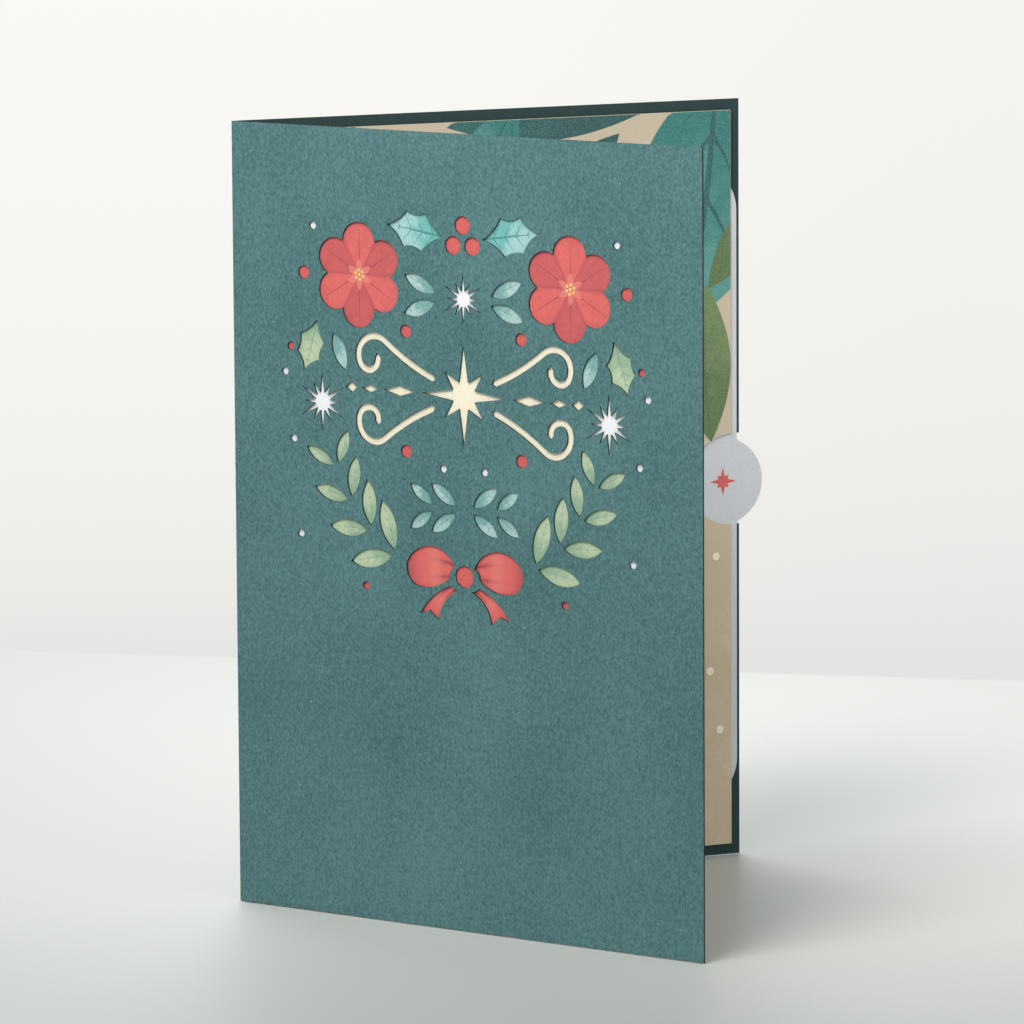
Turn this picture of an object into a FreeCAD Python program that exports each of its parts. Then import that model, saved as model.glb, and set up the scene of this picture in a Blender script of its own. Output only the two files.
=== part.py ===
import FreeCAD, Part
import math
import os

from FreeCAD import Placement, Rotation, Vector

# A pop-up greeting card that stands half open on its lower edges.
#
# The fold is the Z axis. The front page leaves it towards +X and -Y, the back page towards +X
# and +Y, each at half the opening angle. A sheet that lies on a page is described by its reach,
# measured along the page from the fold, and by its depth, measured inwards from the outside of
# the cover. Lengths are in millimetres and angles in degrees.

doc = FreeCAD.newDocument("PopUpCard")

# Driving dimensions
SIZES = {
    # the folded cover
    "page_width": 127.0,
    "page_height": 177.8,
    "opening_angle": 60.0,
    "cover_thickness": 0.5,
    "bend_radius": 0.3,
    "thumb_notch_radius": 10.7,
    "thumb_notch_height": 89.0,
    # the liner, and the printed board behind the windows
    "liner_thickness": 0.2,
    "liner_side_margin": 2.4,
    "liner_top_margin": 2.5,
    "liner_bottom_margin": 2.6,
    "board_fold_margin": 6.0,
    # the note that slides into the back page, and the tape that makes its pocket
    "note_thickness": 0.3,
    "note_clearance": 0.1,
    "note_fold_margin": 14.0,
    "note_side_margin": 0.8,
    "note_bottom": 13.0,
    "note_height": 149.0,
    "note_corner_radius": 10.0,
    "tab_radius": 10.2,
    "tab_overhang": 5.8,
    "tab_height": 88.5,
    "tab_fillet": 1.5,
    "tape_width": 6.0,
    "tape_gap": 0.6,
    # the garland of windows in the front page
    "garland_reach": 63.7,
    "garland_height": 116.0,
    "layout_step": 1.0,
    "laurel_radius": 37.8,
    "laurel_leaf_length": 11.5,
    "laurel_leaf_width": 4.3,
    "small_leaf_length": 9.0,
    "small_leaf_width": 3.5,
    "rosette_radius": 11.8,
    "holly_length": 15.5,
    "holly_width": 9.0,
    "snowflake_radius": 7.0,
    "berry_radius": 2.1,
    "seed_radius": 0.95,
    "stroke_width": 1.6,
    # the pop-up
    "popup_thickness": 0.25,
    "popup_height": 88.9,
    "inner_layer_reach": 28.0,
    "middle_layer_reach": 42.0,
    "outer_layer_reach": 56.0,
    "leaf_tip_margin": 4.0,
    "layer_leaf_length": 8.0,
    "wreath_band": 10.0,
    "arm_height": 16.0,
    "glue_tab": 8.0,
    "bloom_radius": 8.5,
    "bloom_thickness": 0.25,
    "heart_radius": 2.8,
}

sheet = doc.addObject("Spreadsheet::Sheet", "Dimensions")
for row, (alias, value) in enumerate(SIZES.items(), start=1):
    sheet.set(f"A{row}", alias)
    sheet.set(f"B{row}", str(value))
    sheet.setAlias(f"B{row}", alias)
doc.recompute()


def size(alias):
    """The value of one cell of the sheet."""
    return float(sheet.get(alias))


# Sizes that follow from the driving ones. They are written as expressions on the sheet.
COVER = "Dimensions.cover_thickness"
POCKET = "(Dimensions.note_thickness + 2 * Dimensions.note_clearance)"
LINER_DEPTH = f"({COVER} + {POCKET})"
INNER_DEPTH = f"({LINER_DEPTH} + Dimensions.liner_thickness)"

pocket_depth = size("note_thickness") + 2 * size("note_clearance")
liner_depth = size("cover_thickness") + pocket_depth
inner_depth = liner_depth + size("liner_thickness")
half_angle = size("opening_angle") / 2
cosine = math.cos(math.radians(half_angle))
sine = math.sin(math.radians(half_angle))
outer_bend = size("bend_radius") + size("cover_thickness")

# The outsides of the two pages are tangent to the outside of the bend, whose foremost point is
# on the Z axis, so each lies this far outside the plane that holds the axis.
page_offset = -outer_bend * (1 - sine)
FRONT, BACK = 1, -1


# Outlines. An outline is a list of stretches, each a pair of points for a straight one or three
# points for an arc: its start, a point on it and its end.

def polar(radius, angle):
    """The point at a distance and an angle from the origin."""
    return (radius * math.cos(math.radians(angle)), radius * math.sin(math.radians(angle)))


def shifted(point, move):
    """A point moved by a pair of distances."""
    return (point[0] + move[0], point[1] + move[1])


def placed(outline, at=(0, 0), turn=0, mirrored=False):
    """An outline turned about the origin, moved, and mirrored left to right if asked."""
    c, s = polar(1, turn)

    def put(point):
        x = c * point[0] - s * point[1] + at[0]
        y = s * point[0] + c * point[1] + at[1]
        return (-x, y) if mirrored else (x, y)

    return [tuple(put(point) for point in stretch) for stretch in outline]


def pair(outline, at=(0, 0), turn=0):
    """An outline and its mirror image on the other side of the centre line."""
    return [placed(outline, at, turn), placed(outline, at, turn, mirrored=True)]


def polygon(points):
    """Straight stretches from each point to the next, and back to the first."""
    return list(zip(points, points[1:] + points[:1]))


def rectangle(left, bottom, right, top):
    """An upright rectangle."""
    return polygon([(left, bottom), (right, bottom), (right, top), (left, top)])


def disc(radius, at=(0, 0)):
    """A circle, as two half turns."""
    east, north, west, south = [shifted(polar(radius, angle), at) for angle in (0, 90, 180, 270)]
    return [(east, north, west), (west, south, east)]


def regular(sides, radius, at=(0, 0)):
    """A regular polygon with a corner on the X axis."""
    return polygon([shifted(polar(radius, i * 360 / sides), at) for i in range(sides)])


def small_round(radius, at=(0, 0)):
    """A small round hole, with as many flats as its size needs."""
    return regular(12, radius, at)


def lozenge(length, width):
    """A diamond on the X axis, from a point at the origin."""
    middle = length / 2
    return polygon([(0, 0), (middle, -width / 2), (length, 0), (middle, width / 2)])


def leaf(length, width):
    """A leaf on the X axis: two arcs from its stem at the origin to its tip."""
    belly = 0.45 * length
    return [((0, 0), (belly, width / 2), (length, 0)), ((length, 0), (belly, -width / 2), (0, 0))]


def holly_leaf(length, width):
    """A holly leaf on the X axis: three hollow bays between points on each side."""
    bays = 3
    bite = 0.07 * width
    rim = [(0, 0)]
    for i in range(1, bays):
        share = i / bays
        spread = math.sin(math.pi * share ** 0.85) ** 0.45
        rim.append((length * share ** 0.92, width / 2 * spread))
    rim.append((length, 0))
    upper = []
    for start, end in zip(rim, rim[1:]):
        run, rise = end[0] - start[0], end[1] - start[1]
        chord = math.hypot(run, rise)
        middle = ((start[0] + end[0]) / 2, (start[1] + end[1]) / 2)
        upper.append((start, shifted(middle, (rise / chord * bite, -run / chord * bite)), end))
    lower = [tuple((x, -y) for x, y in reversed(stretch)) for stretch in reversed(upper)]
    return upper + lower


def rosette(radius, petals, valley=0.74):
    """A flower of round petals. The valleys between them lie at a share of its radius."""
    step = 360 / petals
    inner = valley * radius
    return [(polar(inner, (i - 0.5) * step), polar(radius, i * step), polar(inner, (i + 0.5) * step))
            for i in range(petals)]


def star(rays, radius, short=0.72, valley=0.3):
    """A star of alternating long and short rays. The first, a long one, points up."""
    points = []
    for i in range(rays):
        points.append(polar(radius if i % 2 == 0 else short * radius, 90 + i * 360 / rays))
        points.append(polar(valley * radius, 90 + (i + 0.5) * 360 / rays))
    return polygon(points)


def scroll(start, heading, bends, width):
    """A stroke of even width with pointed ends, along arcs that run smoothly into each other.

    Each bend is a radius and a turn, positive to the left. Both edges of the stroke are arcs
    about the bend's own centre, half a width nearer to it and half a width further away.
    """
    half = width / 2

    def beside(point, direction, distance):
        return shifted(point, polar(distance, direction + 90))

    left, right = [], []
    point, direction = start, heading
    for radius, turn in bends:
        side = 1 if turn > 0 else -1
        centre = beside(point, direction, side * radius)

        def edge(distance):
            reach = radius - side * distance
            return tuple(shifted(centre, polar(reach, direction - side * 90 + share * turn))
                         for share in (0, 0.5, 1))

        left.append(edge(half))
        right.append(edge(-half))
        point = edge(0)[2]
        direction += turn
    tip = shifted(point, polar(half, direction))
    tail = shifted(start, polar(half, heading + 180))
    ends = [(left[-1][2], tip), (tip, right[-1][2])], [(right[0][0], tail), (tail, left[0][0])]
    return left + ends[0] + [tuple(reversed(stretch)) for stretch in reversed(right)] + ends[1]


# Bodies, sketches and features

def draw(sketch, outlines):
    """Puts outlines into a sketch."""
    curves = []
    for outline in outlines:
        for stretch in outline:
            points = [Vector(x, y, 0) for x, y in stretch]
            curves.append(Part.LineSegment(*points) if len(points) == 2 else Part.Arc(*points))
    sketch.addGeometry(curves, False)


def new_sketch(body, name, plane, outlines, offset=Placement()):
    """A sketch on one of the body's own origin planes, with an offset from it."""
    sketch = body.newObject("Sketcher::SketchObject", name)
    support = [item for item in body.Origin.OriginFeatures if item.Role == plane][0]
    sketch.AttachmentSupport = (support, [""])
    sketch.MapMode = "FlatFace"
    sketch.AttachmentOffset = offset
    draw(sketch, outlines)
    return sketch


def pad(body, sketch, length, backwards=False):
    """Gives a sketch a thickness, which is an expression on the sheet."""
    feature = body.newObject("PartDesign::Pad", sketch.Name + "_pad")
    feature.Profile = sketch
    feature.setExpression("Length", length)
    feature.Reversed = backwards
    return feature


def pocket(body, sketch, length, backwards=False, both_ways=False):
    """Cuts a sketch into the body. An empty cut is an error."""
    doc.recompute()
    before = body.Shape.Volume
    feature = body.newObject("PartDesign::Pocket", sketch.Name + "_cut")
    feature.Profile = sketch
    feature.setExpression("Length", length)
    feature.Reversed = backwards
    feature.Midplane = both_ways
    doc.recompute()
    if body.Shape.Volume > before - 1e-6:
        raise ValueError(sketch.Name + " cuts nothing")
    return feature


def page_frame(side):
    """The placement of a page: X runs along it from the fold and Z up it.

    Y points inwards on the front page and outwards on the back page.
    """
    normal = Vector(sine, side * cosine, 0)
    return Placement(normal * page_offset, Rotation(Vector(0, 0, 1), -side * half_angle))


def panel_frame(side, reach):
    """The placement of a pop-up panel that starts from a page and ends at the middle crease.

    X runs from the crease to the page and Z up the crease, both in the face that looks out of
    the card. Y points out of the card on the panel that starts from the front page.
    """
    crease = Vector(crease_reach(reach), 0, 0)
    return Placement(crease, Rotation(Vector(0, 0, 1), 180 + side * half_angle))


def plate(label, side, frame, depth, thickness, outlines):
    """A flat sheet parallel to a page or a panel, at a depth from its frame's own plane."""
    body = doc.addObject("PartDesign::Body", label)
    body.Label = label
    sketch = new_sketch(body, label + "_outline", "XZ_Plane", outlines)
    sketch.setExpression("AttachmentOffset.Base.z", f"{-side} * {depth}")
    pad(body, sketch, thickness, backwards=side == FRONT)
    body.Placement = frame
    return body


def on_page(body, name, side, outlines):
    """A sketch in the outer face of one of the pages of a folded sheet."""
    frame = page_frame(side)
    base = Vector(frame.Base.x, 0, -frame.Base.y)
    offset = Placement(base, Rotation(Vector(0, 1, 0), -side * half_angle))
    return new_sketch(body, name, "XZ_Plane", outlines, offset)


def page_point(side, reach, depth):
    """The plan position of a point on a page."""
    point = page_frame(side).multVec(Vector(reach, side * depth, 0))
    return (point.x, point.y)


def folded_section(depth, thickness, reach):
    """The plan of a folded sheet: a page on each side of one bend.

    depth is where its outer face lies in the cover, and reach is where its pages end.
    """
    inner = size("bend_radius")
    outer = inner + thickness
    centre = ((page_offset + depth + outer) / sine, 0)

    def bend_point(side, radius):
        return shifted(centre, (-radius * sine, -side * radius * cosine))

    front_end, back_end = page_point(FRONT, reach, depth), page_point(BACK, reach, depth)
    front_inside = page_point(FRONT, reach, depth + thickness)
    back_inside = page_point(BACK, reach, depth + thickness)
    return [
        (bend_point(FRONT, outer), front_end),
        (front_end, front_inside),
        (front_inside, bend_point(FRONT, inner)),
        (bend_point(FRONT, inner), shifted(centre, (-inner, 0)), bend_point(BACK, inner)),
        (bend_point(BACK, inner), back_inside),
        (back_inside, back_end),
        (back_end, bend_point(BACK, outer)),
        (bend_point(BACK, outer), shifted(centre, (-outer, 0)), bend_point(FRONT, outer)),
    ]


def folded_sheet(label, depth, thickness, reach, bottom, height):
    """A sheet folded once. bottom and height are expressions on the sheet."""
    body = doc.addObject("PartDesign::Body", label)
    body.Label = label
    section = folded_section(depth, thickness, reach)
    sketch = new_sketch(body, label + "_section", "XY_Plane", [section])
    sketch.setExpression("AttachmentOffset.Base.z", bottom)
    pad(body, sketch, height)
    return body


# Cover

def in_garland(outlines):
    """Outlines drawn about the middle of the garland, moved to their place on the page."""
    middle = (size("garland_reach"), size("garland_height"))
    return [placed(outline, middle) for outline in outlines]


def spot(across, up):
    """A place in the garland, counted in steps of its layout from its middle."""
    step = size("layout_step")
    return (across * step, up * step)


def drawn_in_steps(outline):
    """An outline whose points are counted in steps of the layout."""
    return [tuple(spot(x, y) for x, y in stretch) for stretch in outline]


def ring_point(radius, clock):
    """A point at a distance from the garland's middle, at an angle clockwise from the top."""
    return polar(radius, 90 - clock)


def laurel(first=149, last=111, pairs=4, lean=42, taper=0.3, gap=0.7):
    """Two sprigs of leaf pairs that climb a ring from the bow towards the snowflakes."""
    radius = size("laurel_radius")
    length, width = size("laurel_leaf_length"), size("laurel_leaf_width")
    step = (last - first) / (pairs - 1)
    leaves = []
    for i in range(pairs):
        clock = first + i * step
        share = 1 - taper * i / (pairs - 1)
        for side in (-1, 1):
            beside = polar(size("layout_step") * gap, 180 - clock + side * 90)
            stem = shifted(ring_point(radius, clock), beside)
            leaves += pair(leaf(length * share, width * share), stem, 180 - clock + side * lean)
    return leaves


def rosettes(across=28.5, up=29.2, petals=6):
    """Two large flowers with a petal that points straight up."""
    return pair(rosette(size("rosette_radius"), petals), spot(across, up), 90)


def holly(across=5.2, up=38.8, lean=8):
    """Two holly leaves over the garland, with three berries between them."""
    berry = size("berry_radius")
    leaves = pair(holly_leaf(size("holly_length"), size("holly_width")), spot(across, up), lean)
    cluster = [small_round(berry, shifted(spot(0, up - 0.1), polar(1.43 * berry, angle)))
               for angle in (90, 210, 330)]
    return leaves + cluster


def side_leaves():
    """Below each rosette a smaller holly leaf and a plain one, and leaves beside the snowflake."""
    small_holly = holly_leaf(0.8 * size("holly_length"), 0.8 * size("holly_width"))
    small_leaf = leaf(size("small_leaf_length"), size("small_leaf_width"))
    return (pair(small_holly, spot(40.0, 18.6), -72)
            + pair(small_leaf, spot(35.6, 16.0), -112)
            + pair(small_leaf, spot(7.6, 26.4), 24)
            + pair(small_leaf, spot(7.6, 24.4), -20))


def snowflakes(across=38.8, up=0.2, top=25.4, rays=12):
    """A star of twelve rays on each side, and one under the holly."""
    radius = size("snowflake_radius")
    small = placed(star(rays, 0.86 * radius), spot(0, top))
    return pair(star(rays, radius), spot(across, up)) + [small]


def berries():
    """Pairs of loose berries in the gaps of the garland."""
    places = [(43.6, 29.0), (15.6, 17.4), (15.6, -9.4)]
    small = 0.72 * size("berry_radius")
    return [hole for place in places for hole in pair(small_round(small), spot(*place))]


def seeds():
    """Pairs of seed-sized holes with eight flats, scattered round the garland."""
    places = [(46.8, -8.6), (49.0, 6.4), (41.0, 39.6), (45.0, -30.0), (5.6, -12.6),
              (47.4, 12.2), (27.0, -40.4)]
    seed = regular(8, size("seed_radius"))
    return [hole for place in places for hole in pair(seed, spot(*place))]


def bow(up=-36.3, knot=2.5):
    """A ribbon bow: a knot, two loops and two forked tails."""
    loop = [((2.6, 1.8), (8.0, 6.2), (13.8, 4.6)), ((13.8, 4.6), (15.8, 0.8), (13.4, -2.8)),
            ((13.4, -2.8), (8.7, -2.9), (4.0, -0.5)), ((4.0, -0.5), (3.8, 0.9), (2.6, 1.8))]
    tail = [((1.8, -3.3), (5.4, -5.9), (7.2, -10.2)), ((7.2, -10.2), (9.6, -8.2)),
            ((9.6, -8.2), (12.2, -9.2)), ((12.2, -9.2), (8.9, -5.2), (3.9, -2.3)),
            ((3.9, -2.3), (2.9, -3.0), (1.8, -3.3))]
    knot_hole = small_round(knot * size("layout_step"), spot(0, up))
    return (pair(drawn_in_steps(loop), spot(0, up)) + pair(drawn_in_steps(tail), spot(0, up))
            + [knot_hole])


def inner_sprig(first=2.4, step=6.4, up=-21.4, lean=36, pairs=2, gap=0.75):
    """A row of leaf pairs on each side, above the bow."""
    length, width = 0.9 * size("small_leaf_length"), 0.9 * size("small_leaf_width")
    leaves = []
    for i in range(pairs):
        share = 1 - 0.1 * i
        for side in (-1, 1):
            stem = spot(first + i * step, up + side * gap)
            leaves += pair(leaf(length * share, width * share), stem, side * lean)
    return leaves


def ornament(up=4.0, star_radius=11.5):
    """The middle of the garland: a star between scrolls and diamonds."""
    step = size("layout_step")
    bends = [(54.6 * step, 16), (4.4 * step, -150), (2.6 * step, -170)]
    mirrored_bends = [(radius, -turn) for radius, turn in bends]
    width = size("stroke_width")
    rise = 3.3
    strokes = pair(scroll(spot(8.4, up + rise), 22, bends, width))
    strokes += pair(scroll(spot(8.4, up - rise), -22, mirrored_bends, width))
    for across, length, breadth in ((13.2, 8.5, 2.4), (23.2, 4.6, 1.8), (29.0, 3.2, 2.4)):
        strokes += pair(drawn_in_steps(lozenge(length, breadth)), spot(across, up))
    strokes.append(placed(star(8, star_radius * step, 0.64, 0.28), spot(0, up)))
    return strokes


def make_cover():
    """The folded card, with windows in its front page and a thumb notch in its back page."""
    cover = folded_sheet("cover", 0, size("cover_thickness"), size("page_width"),
                         "0", "Dimensions.page_height")
    notch = disc(size("thumb_notch_radius"), (size("page_width"), size("thumb_notch_height")))
    through = f"2 * {COVER}"
    pocket(cover, on_page(cover, "thumb_notch", BACK, [notch]), through, backwards=True)
    windows = {"laurel": laurel(), "rosettes": rosettes(), "holly": holly(),
               "side_leaves": side_leaves(), "snowflakes": snowflakes(), "berries": berries(),
               "seeds": seeds(), "bow": bow(), "inner_sprig": inner_sprig(),
               "ornament": ornament()}
    for name, outlines in windows.items():
        pocket(cover, on_page(cover, name, FRONT, in_garland(outlines)), through)
    return cover


# Liner, window board and note pocket

liner_reach = size("page_width") - size("liner_side_margin")
liner_top = size("page_height") - size("liner_top_margin")
LINER_HEIGHT = "Dimensions.page_height - Dimensions.liner_top_margin - Dimensions.liner_bottom_margin"


def make_liner():
    """The printed sheet inside the card, folded with it, with a thumb notch of its own."""
    liner = folded_sheet("liner", liner_depth, size("liner_thickness"), liner_reach,
                         "Dimensions.liner_bottom_margin", LINER_HEIGHT)
    notch = disc(size("thumb_notch_radius"), (liner_reach, size("thumb_notch_height")))
    sketch = on_page(liner, "liner_notch", BACK, [notch])
    pocket(liner, sketch, f"4 * {INNER_DEPTH}", backwards=True)
    return liner


def make_window_board():
    """The printed board that shows through the windows. It is as thick as the note pocket."""
    outline = rectangle(size("board_fold_margin"), size("liner_bottom_margin"),
                        liner_reach, liner_top)
    return plate("window_board", FRONT, page_frame(FRONT), COVER, POCKET, [outline])


note_left = size("note_fold_margin")
note_right = size("page_width") - size("note_side_margin")
note_top = size("note_bottom") + size("note_height")


def note_outline():
    """The note: large round corners at its free edge and a round tab that stands out of it."""
    bottom, top = size("note_bottom"), note_top
    corner, fillet = size("note_corner_radius"), size("tab_fillet")
    radius, height = size("tab_radius"), size("tab_height")
    tab = (size("page_width") + size("tab_overhang") - radius, height)
    inset = 1 - math.sqrt(0.5)
    rise = math.sqrt((radius + fillet) ** 2 - (note_right + fillet - tab[0]) ** 2)
    fillet_angle = math.degrees(math.atan2(rise, note_right + fillet - tab[0]))

    def tab_side(side):
        """From the note's edge round the small fillet to the tab, above it or below it."""
        centre = (note_right + fillet, height + side * rise)
        on_tab = shifted(tab, polar(radius, side * fillet_angle))
        middle = shifted(centre, polar(fillet, side * (180 + (180 + fillet_angle)) / 2))
        return ((note_right, centre[1]), middle, on_tab)

    lower, upper = tab_side(-1), tab_side(1)
    right, left = note_right, note_left
    return [
        ((left, bottom), (right - corner, bottom)),
        ((right - corner, bottom), (right - inset * corner, bottom + inset * corner),
         (right, bottom + corner)),
        ((right, bottom + corner), lower[0]),
        lower,
        (lower[2], shifted(tab, (radius, 0)), upper[2]),
        tuple(reversed(upper)),
        (upper[0], (right, top - corner)),
        ((right, top - corner), (right - inset * corner, top - inset * corner),
         (right - corner, top)),
        ((right - corner, top), (left, top)),
        ((left, top), (left, bottom)),
    ]


def make_note():
    """The note card, with a little room on each side of it."""
    depth = f"({COVER} + Dimensions.note_clearance)"
    return plate("note_card", BACK, page_frame(BACK), depth, "Dimensions.note_thickness",
                 [note_outline()])


def make_pocket_tape():
    """Strips above, below and behind the note, which hold the liner off the cover."""
    gap, width = size("tape_gap"), size("tape_width")
    left, right = note_left - gap - width, liner_reach
    bottom, top = size("note_bottom") - gap, note_top + gap
    strips = {"pocket_tape_bottom": rectangle(left, bottom - width, right, bottom),
              "pocket_tape_top": rectangle(left, top, right, top + width),
              "pocket_tape_fold": rectangle(left, bottom, left + width, top)}
    return [plate(label, BACK, page_frame(BACK), COVER, POCKET, [outline])
            for label, outline in strips.items()]


# Pop-up

def crease_reach(reach):
    """How far the middle crease of a layer stands from the fold.

    Each panel is as long as its reach on the page, so that the two panels and the two pages
    make a rhombus that folds flat with the card.
    """
    start = page_point(FRONT, reach, inner_depth)
    return start[0] + math.sqrt(reach ** 2 - start[1] ** 2)


def layer_section(reach):
    """The plan of a pop-up layer: glue tab, panel, crease, panel and glue tab.

    The outer face is a line through the tab's end, the page fold and the middle crease, and
    the inner face is parallel to it. The corners are mitred.
    """
    thickness = size("popup_thickness")
    face = [page_point(FRONT, reach - size("glue_tab"), inner_depth),
            page_point(FRONT, reach, inner_depth),
            (crease_reach(reach), 0),
            page_point(BACK, reach, inner_depth),
            page_point(BACK, reach - size("glue_tab"), inner_depth)]
    headings = [math.atan2(end[1] - start[1], end[0] - start[0])
                for start, end in zip(face, face[1:])]
    inside = []
    for i, point in enumerate(face):
        before, after = headings[max(i - 1, 0)], headings[min(i, len(headings) - 1)]
        turn = (after - before) % (2 * math.pi)
        mitre = thickness / math.cos(turn / 2)
        direction = math.degrees(before + turn / 2) + 90
        inside.append(shifted(point, polar(mitre, direction)))
    return polygon(face + inside[::-1])


def layer_radii(reach):
    """The radius of the leaf tips, the foot of the leaves and the opening of a layer."""
    tips = reach - size("leaf_tip_margin")
    feet = tips - size("layer_leaf_length")
    return tips, feet, feet - size("wreath_band")


def across_panel(reach, outline):
    """An outline drawn on a flat panel, as it looks square on to the card's middle plane.

    The distance from the crease is shortened by the slant of the panel.
    """
    crease = crease_reach(reach)
    slant = (crease - page_point(FRONT, reach, inner_depth)[0]) / reach
    height = size("popup_height")
    return [tuple((crease - x * slant, height + y) for x, y in stretch) for stretch in outline]


def wreath_outline(reach, leaves):
    """Half a wreath with an arm to the page: leaves round a ring, from the top to the bottom.

    It is closed on the far side of the crease, where there is no paper.
    """
    tips, feet = layer_radii(reach)[:2]
    arm = size("arm_height") / 2
    margin = 1.0
    arm_angle = math.degrees(math.asin(arm / feet))
    step = (90 - arm_angle) / (leaves - 0.5)
    upper = []
    for i in range(leaves):
        centre = 90 - i * step
        foot_before, foot_after = polar(feet, centre + step / 2), polar(feet, centre - step / 2)
        tip = polar(tips, centre)
        belly = feet + 0.42 * (tips - feet)
        bulge = 0.4 * step
        if i > 0:
            upper.append((foot_before, polar(belly, centre + bulge), tip))
        upper.append((tip, polar(belly, centre - bulge), foot_after))
    top = upper[0][0]
    end = -size("glue_tab") - margin
    start_of_arm = upper[-1][-1]
    lower = [tuple((x, -y) for x, y in reversed(stretch)) for stretch in reversed(upper)]
    far = reach + size("glue_tab") + margin
    middle = [(start_of_arm, (far, start_of_arm[1])),
              ((far, start_of_arm[1]), (far, -start_of_arm[1])),
              ((far, -start_of_arm[1]), (start_of_arm[0], -start_of_arm[1]))]
    closing = [((0, -top[1]), (-margin, -top[1])), ((-margin, -top[1]), (-margin, top[1])),
               ((-margin, top[1]), (0, top[1]))]
    return upper + middle + lower + closing


def round_opening(radius, arcs=8):
    """A circle in an even number of arcs, so that it can be drawn slanted."""
    step = 360 / arcs
    return [(polar(radius, i * step), polar(radius, (i + 0.5) * step), polar(radius, (i + 1) * step))
            for i in range(arcs)]


def pierced_band(reach, count):
    """Lozenge-shaped holes along the band of the wreath, between its crease and its arm."""
    feet, opening = layer_radii(reach)[1:]
    middle = (feet + opening) / 2
    length, width = 0.62 * size("wreath_band"), 0.26 * size("wreath_band")
    hole = placed(lozenge(length, width), (-length / 2, 0))
    holes = []
    for i in range(count):
        angle = 90 - (i + 0.62) * 90 / (count + 0.2)
        for side in (1, -1):
            place = polar(middle, side * angle)
            holes.append(placed(hole, place, side * (angle + 55)))
    return holes


def make_layer(label, reach_name, leaves, holes, starred=False):
    """One layer of the pop-up: a strip between the pages, cut to a half wreath on each panel.

    Its opening is round, or a star.
    """
    reach = size(reach_name)
    tips, opening = layer_radii(reach)[0], layer_radii(reach)[2]
    body = doc.addObject("PartDesign::Body", label)
    body.Label = label
    sketch = new_sketch(body, label + "_section", "XY_Plane", [layer_section(reach)])
    tip_radius = f"(Dimensions.{reach_name} - Dimensions.leaf_tip_margin)"
    sketch.setExpression("AttachmentOffset.Base.z", f"Dimensions.popup_height - {tip_radius}")
    pad(body, sketch, f"2 * {tip_radius}")
    frame_margin = 2.0
    bottom, top = size("popup_height") - tips, size("popup_height") + tips
    surround = rectangle(-frame_margin, bottom - frame_margin,
                         crease_reach(reach) + frame_margin, top + frame_margin)
    wreath = across_panel(reach, wreath_outline(reach, leaves))
    silhouette = new_sketch(body, label + "_silhouette", "XZ_Plane", [surround, wreath])
    pocket(body, silhouette, "2 * Dimensions.page_width", both_ways=True)
    middle = star(8, opening) if starred else round_opening(opening)
    openings = [middle] + pierced_band(reach, holes)
    openings = [across_panel(reach, outline) for outline in openings]
    window = new_sketch(body, label + "_openings", "XZ_Plane", openings)
    pocket(body, window, "2 * Dimensions.page_width", both_ways=True)
    return body


def make_bloom(side, name, above):
    """A paper flower on the outer layer's band: pointed petals and an eight-sided heart."""
    reach = size("outer_layer_reach")
    feet, opening = layer_radii(reach)[1:]
    frame = panel_frame(side, reach)
    angle = 45 if above else -45
    place = shifted(polar((feet + opening) / 2, angle), (0, size("popup_height")))
    petals = placed(star(8, size("bloom_radius"), 0.8, 0.44), place)
    heart = regular(8, size("heart_radius"), place)
    thickness = "Dimensions.bloom_thickness"
    return [plate(f"bloom_{name}_petals", side, frame, "0", thickness, [petals]),
            plate(f"bloom_{name}_heart", side, frame, thickness, thickness, [heart])]


# The whole card

nodes = [make_cover(), make_window_board(), make_liner(), make_note()]
nodes += make_pocket_tape()
nodes.append(make_layer("popup_inner_layer", "inner_layer_reach", 3, 0, starred=True))
nodes.append(make_layer("popup_middle_layer", "middle_layer_reach", 4, 2))
nodes.append(make_layer("popup_outer_layer", "outer_layer_reach", 5, 3))
for side, page in ((FRONT, "front"), (BACK, "back")):
    nodes += make_bloom(side, f"{page}_upper", True)
    nodes += make_bloom(side, f"{page}_lower", False)
doc.recompute()

for item in doc.Objects:
    if "Invalid" in item.State or "Error" in item.State:
        raise ValueError(item.Name + " failed")

os.makedirs("parts", exist_ok=True)
for node in nodes:
    shape = node.Shape
    if shape.isNull() or not shape.isValid() or len(shape.Solids) != 1:
        raise ValueError(f"{node.Label} is not one valid solid")
    shape.exportStep(f"parts/{node.Label}.step")
    print(node.Label, round(shape.Volume, 2), shape.BoundBox)
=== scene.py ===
# %% [markdown]
# # A pop-up card that stands half open
#
# The object is a greeting card of felt-marked card stock. A garland of small windows is cut
# through its front page, and a printed board shows through them. Inside are a printed liner,
# a pop-up of three nested paper wreaths and a white note that slides out of a pocket.
# The CAD model already has every sheet at its real size, so this script adds what paper looks
# like from near: the grain of each stock, with painted shade in the hollows of the felt, the dark
# cut edges, partly painted shade, and all that is printed.
# Lengths are in metres, up is +Z, and the fold of the card stands on the origin.

# %% Load the frame
import math

import bmesh
import bpy
import numpy as np
from mathutils import Matrix, Vector


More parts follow.
